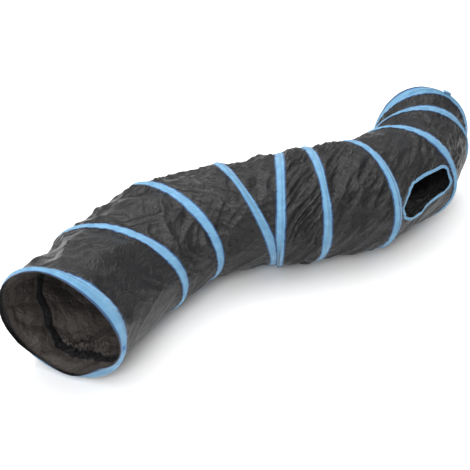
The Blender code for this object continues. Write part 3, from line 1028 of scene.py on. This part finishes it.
def make_tape_stitches(number, side, tree, thread):
    """A row of stitches along one edge of a tape."""
    panel = panel_beside(number, side)
    width = tape_width(number, panel)
    row = round((STITCH_STEPS - 1) * SEWN_AT / TAPE_HALF_WIDTH)
    share = None
    if 1 <= panel < HOOPS:
        points, share, _ = band_points(number, panel, STITCH_STEPS, width, tape_lift)
    else:
        points, _, _ = end_points(number, side, width, tape_lift, STITCH_STEPS)
    normals = normals_of(points) * side
    line = points[row] + normals[row] * (TAPE_THICKNESS / 2 + 0.05 * MM)
    line[:, 2] = np.maximum(line[:, 2], FLOOR_GAP + 0.3 * MM)
    name = f"stitching_{half_name(number, side)}"
    obj = sew(name, line, tree, thread, seed=number * 2 + side)
    if share is None:
        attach(obj, body(number))
    else:
        bend_with(obj, panel, nearest_weights(obj, line, share[row]))


# The ends of each line of the tack: step from the wire to the tape's edge, degrees round
BAR_TACK = (((1, 182), (6, 186)), ((6, 182), (1, 186)), ((3, 181), (3, 187)))


def make_bar_tack(tree, thread):
    """A small cross of stitches that fastens the near tape's end."""
    points, _, _ = end_points(1, -1, tape_width(1, 0), tape_lift, BAND_STEPS)
    normals = -normals_of(points)
    lifted = points + normals * (TAPE_THICKNESS / 2 + 0.1 * MM)
    sizes = {"Pitch": 1.2 * MM, "Thread_Radius": 0.5 * MM}
    for number, (first, last) in enumerate(BAR_TACK):
        rows = np.linspace(first[0], last[0], 7).round().astype(int)
        columns = np.linspace(first[1], last[1], 7).round().astype(int)
        line = lifted[rows, columns]
        name = f"bar_tack_{number + 1}"
        obj = sew(name, line, tree, thread, seed=70 + number, closed=False, **sizes)
        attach(obj, body(1))


# ---------------------------------------------------------------- binding and tie loop


def swept(name, line, sides, ups, outline, material):
    """A section swept along a closed line. outline is (sideways, up) round the section."""
    outline = np.asarray(outline)
    run = line[1] - line[-1]
    if np.cross(run, sides[0]) @ ups[0] < 0:
        outline = outline[::-1]
    count, corners = len(line), len(outline)
    points = (
        line[:, None, :]
        + outline[None, :, 0, None] * sides[:, None, :]
        + outline[None, :, 1, None] * ups[:, None, :]
    )
    row, column = np.meshgrid(np.arange(count), np.arange(corners), indexing="ij")
    here, ahead = row * corners, (row + 1) % count * corners
    beside = (column + 1) % corners
    faces = [here + column, ahead + column, ahead + beside, here + beside]
    faces = np.stack(faces, axis=-1).reshape(-1, 4)
    obj = new_object(name, points.reshape(-1, 3), faces, material)
    steps = np.linalg.norm(np.diff(line, axis=0, append=line[:1]), axis=-1)
    walked = np.concatenate([[0], np.cumsum(steps)])
    rows = faces // corners
    around = walked[rows]
    wraps = (rows.max(axis=1) - rows.min(axis=1)) > count / 2
    around[wraps] = np.where(rows[wraps] == 0, walked[count], around[wraps])
    give_uv(obj, np.stack([around, outline[faces % corners, 0]], axis=-1))
    store(obj, "cloth_place", "FLOAT_VECTOR", points)
    return obj


def band_section(inner, outer, thickness):
    """A flat band's section with round edges, from inner to outer."""
    half = thickness / 2
    turns = np.linspace(-math.pi / 2, math.pi / 2, 5)
    right = [(outer - half + half * math.cos(a), half * math.sin(a)) for a in turns]
    across = np.linspace(outer - half, inner + half, 7)[1:-1]
    dip = [0.15 * MM * math.cos(math.pi * (x - inner) / (outer - inner)) ** 2 for x in across]
    top = [(x, half - low_by) for x, low_by in zip(across, dip)]
    left = [(inner + half - half * math.cos(a), half * math.sin(a)) for a in turns[::-1]]
    low = [(x, -half) for x in across[::-1]]
    return right + top + left + low


def make_binding(tree, cloth_tape, thread):
    """The peephole's binding: a folded tape along the outline, with its row of stitches."""
    corners = peephole_outline()
    part = np.linspace(0, 1, 6)[:-1, None]
    path = corners[:, None] * (1 - part) + np.roll(corners, -1, axis=0)[:, None] * part
    angles, share = path.reshape(-1, 2).T
    line = cloth(PEEPHOLE_PANEL, angles, share)
    step = 0.001
    over = cloth(PEEPHOLE_PANEL, angles + step, share) - cloth(PEEPHOLE_PANEL, angles - step, share)
    ahead = cloth(PEEPHOLE_PANEL, angles, share + step) - cloth(PEEPHOLE_PANEL, angles, share - step)
    up = np.cross(over, ahead)
    axis = (hoops[PEEPHOLE_PANEL - 1].middle + hoops[PEEPHOLE_PANEL].middle) / 2
    up = unit(up * np.sign(dots(up, line - axis)))
    for _ in range(6):
        up = unit(np.roll(up, 1, axis=0) + up + np.roll(up, -1, axis=0))
    run = unit(np.roll(line, -1, axis=0) - np.roll(line, 1, axis=0))
    sideways = unit(np.cross(run, up))
    middle = line.mean(axis=0)
    if (dots(sideways, line - middle) > 0).mean() < 0.5:
        sideways = -sideways
    wander = 0.25 * MM * noise(np.stack([share * 40, angles * 25, angles * 0], axis=-1), 77)
    line = line + sideways * wander[:, None]
    section = band_section(-BINDING_INWARDS, BINDING_OUTWARDS, BINDING_THICKNESS)
    obj = swept("peephole_binding_tape", line, sideways, up, section, cloth_tape)
    bend_with(obj, PEEPHOLE_PANEL, np.repeat(share, len(section)))
    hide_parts("peephole_binding")
    seam = line + sideways * BINDING_SEAM + up * 1.0 * MM
    sewn = sew("peephole_stitching", seam, tree, thread, seed=90)
    bend_with(sewn, PEEPHOLE_PANEL, nearest_weights(sewn, seam, share))


def make_tie_loop(material):
    """A short tape folded into a loop and caught under the last hoop's tape."""
    hoop = hoops[-1]
    at = np.array([math.pi / 2 + LOOP_TURN])
    along_hoop = unit(hoop.ring(at + 0.01, hoop.radius) - hoop.ring(at - 0.01, hoop.radius))[0]
    out = hoop.outward(at)[0]
    low, high = (np.array(corner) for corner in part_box("tie_loop"))
    middle = (low + high) / 2
    turn = np.linspace(0, 2 * math.pi, 48, endpoint=False)
    straight = LOOP_HALF_LENGTH - LOOP_HALF_HEIGHT
    ends = np.sign(np.cos(turn)) * straight * np.clip(np.abs(np.cos(turn)) * 2.2, 0, 1)
    x = ends + LOOP_HALF_HEIGHT * np.cos(turn)
    y = LOOP_HALF_HEIGHT * np.sin(turn) * (1 + 0.18 * np.sin(turn * 2 + 0.5))
    line = middle + x[:, None] * along_hoop + (y[:, None] - 1.0 * MM) * out
    run = unit(np.roll(line, -1, axis=0) - np.roll(line, 1, axis=0))
    wide = np.broadcast_to(hoop.way, line.shape)
    up = unit(np.cross(run, wide))
    section = band_section(-LOOP_HALF_WIDTH, LOOP_HALF_WIDTH, LOOP_THICKNESS)
    obj = swept("tie_loop_tape", line, wide, up, section, material)
    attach(obj, body(HOOPS))
    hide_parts("tie_loop")


# ---------------------------------------------------------------- the whole tunnel


def make_floor():
    bpy.ops.mesh.primitive_plane_add(size=30, location=(0, 0, -0.2 * MM))
    floor = bpy.context.object
    floor.name = "floor"
    floor.data.materials.append(floor_finish())


def main():
    place_camera()
    light_studio()
    make_floor()
    bpy.context.scene.view_settings.view_transform = "Standard"
    taffeta = taffeta_finish("black_taffeta", (0.003, 0.0029, 0.0033), (0.010, 0.0096, 0.0106), 0.23)
    # The nearer panels' inside is the black taffeta with painted light: a lighter, warmer brown that
    # stands for light shining through the thin cloth
    inside_finish = taffeta_finish("taffeta_inside_painted_light", (0.044, 0.038, 0.035), (0.098, 0.086, 0.080), 0.42)
    channel_cloth = taffeta_finish("channel_cloth", (0.004, 0.004, 0.005), (0.010, 0.010, 0.012), 0.55)
    tape = tape_finish()
    blue_thread = thread_finish("blue_thread", (0.075, 0.21, 0.40), (0.18, 0.38, 0.58))
    navy_thread = thread_finish("navy_thread", (0.01, 0.05, 0.20), (0.03, 0.12, 0.38))
    steel = metal_finish("spring_steel", (0.40, 0.41, 0.43), (0.62, 0.63, 0.65), 0.28)
    brass = metal_finish("crimped_brass", (0.55, 0.40, 0.18), (0.78, 0.60, 0.30), 0.32)
    tree = stitch_tree()
    for number in range(1, HOOPS + 1):
        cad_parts[f"wire_hoop_{number:02d}"].material_slots[0].material = steel
        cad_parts[f"ferrule_{number:02d}"].material_slots[0].material = brass
        for side in (-1, 1):
            make_tape_half(number, side, tape)
            make_tape_stitches(number, side, tree, blue_thread)
    for number in range(2, HOOPS):
        for side in (-1, 1) if number > 2 else (1,):
            make_channel_half(number, side, channel_cloth)
    make_dark_strip(channel_cloth)
    for panel in range(1, HOOPS):
        # Panels before DARK_INSIDE get the inside with painted light, the far ones the plain dark
        # taffeta
        make_panel(panel, taffeta, inside_finish if panel < DARK_INSIDE else taffeta)
    make_hem("near_mouth_hem", 1, -1, taffeta)
    make_hem("far_mouth_hem", HOOPS, 1, taffeta)
    make_binding(tree, tape, blue_thread)
    make_bar_tack(tree, navy_thread)
    make_tie_loop(tape)


main()
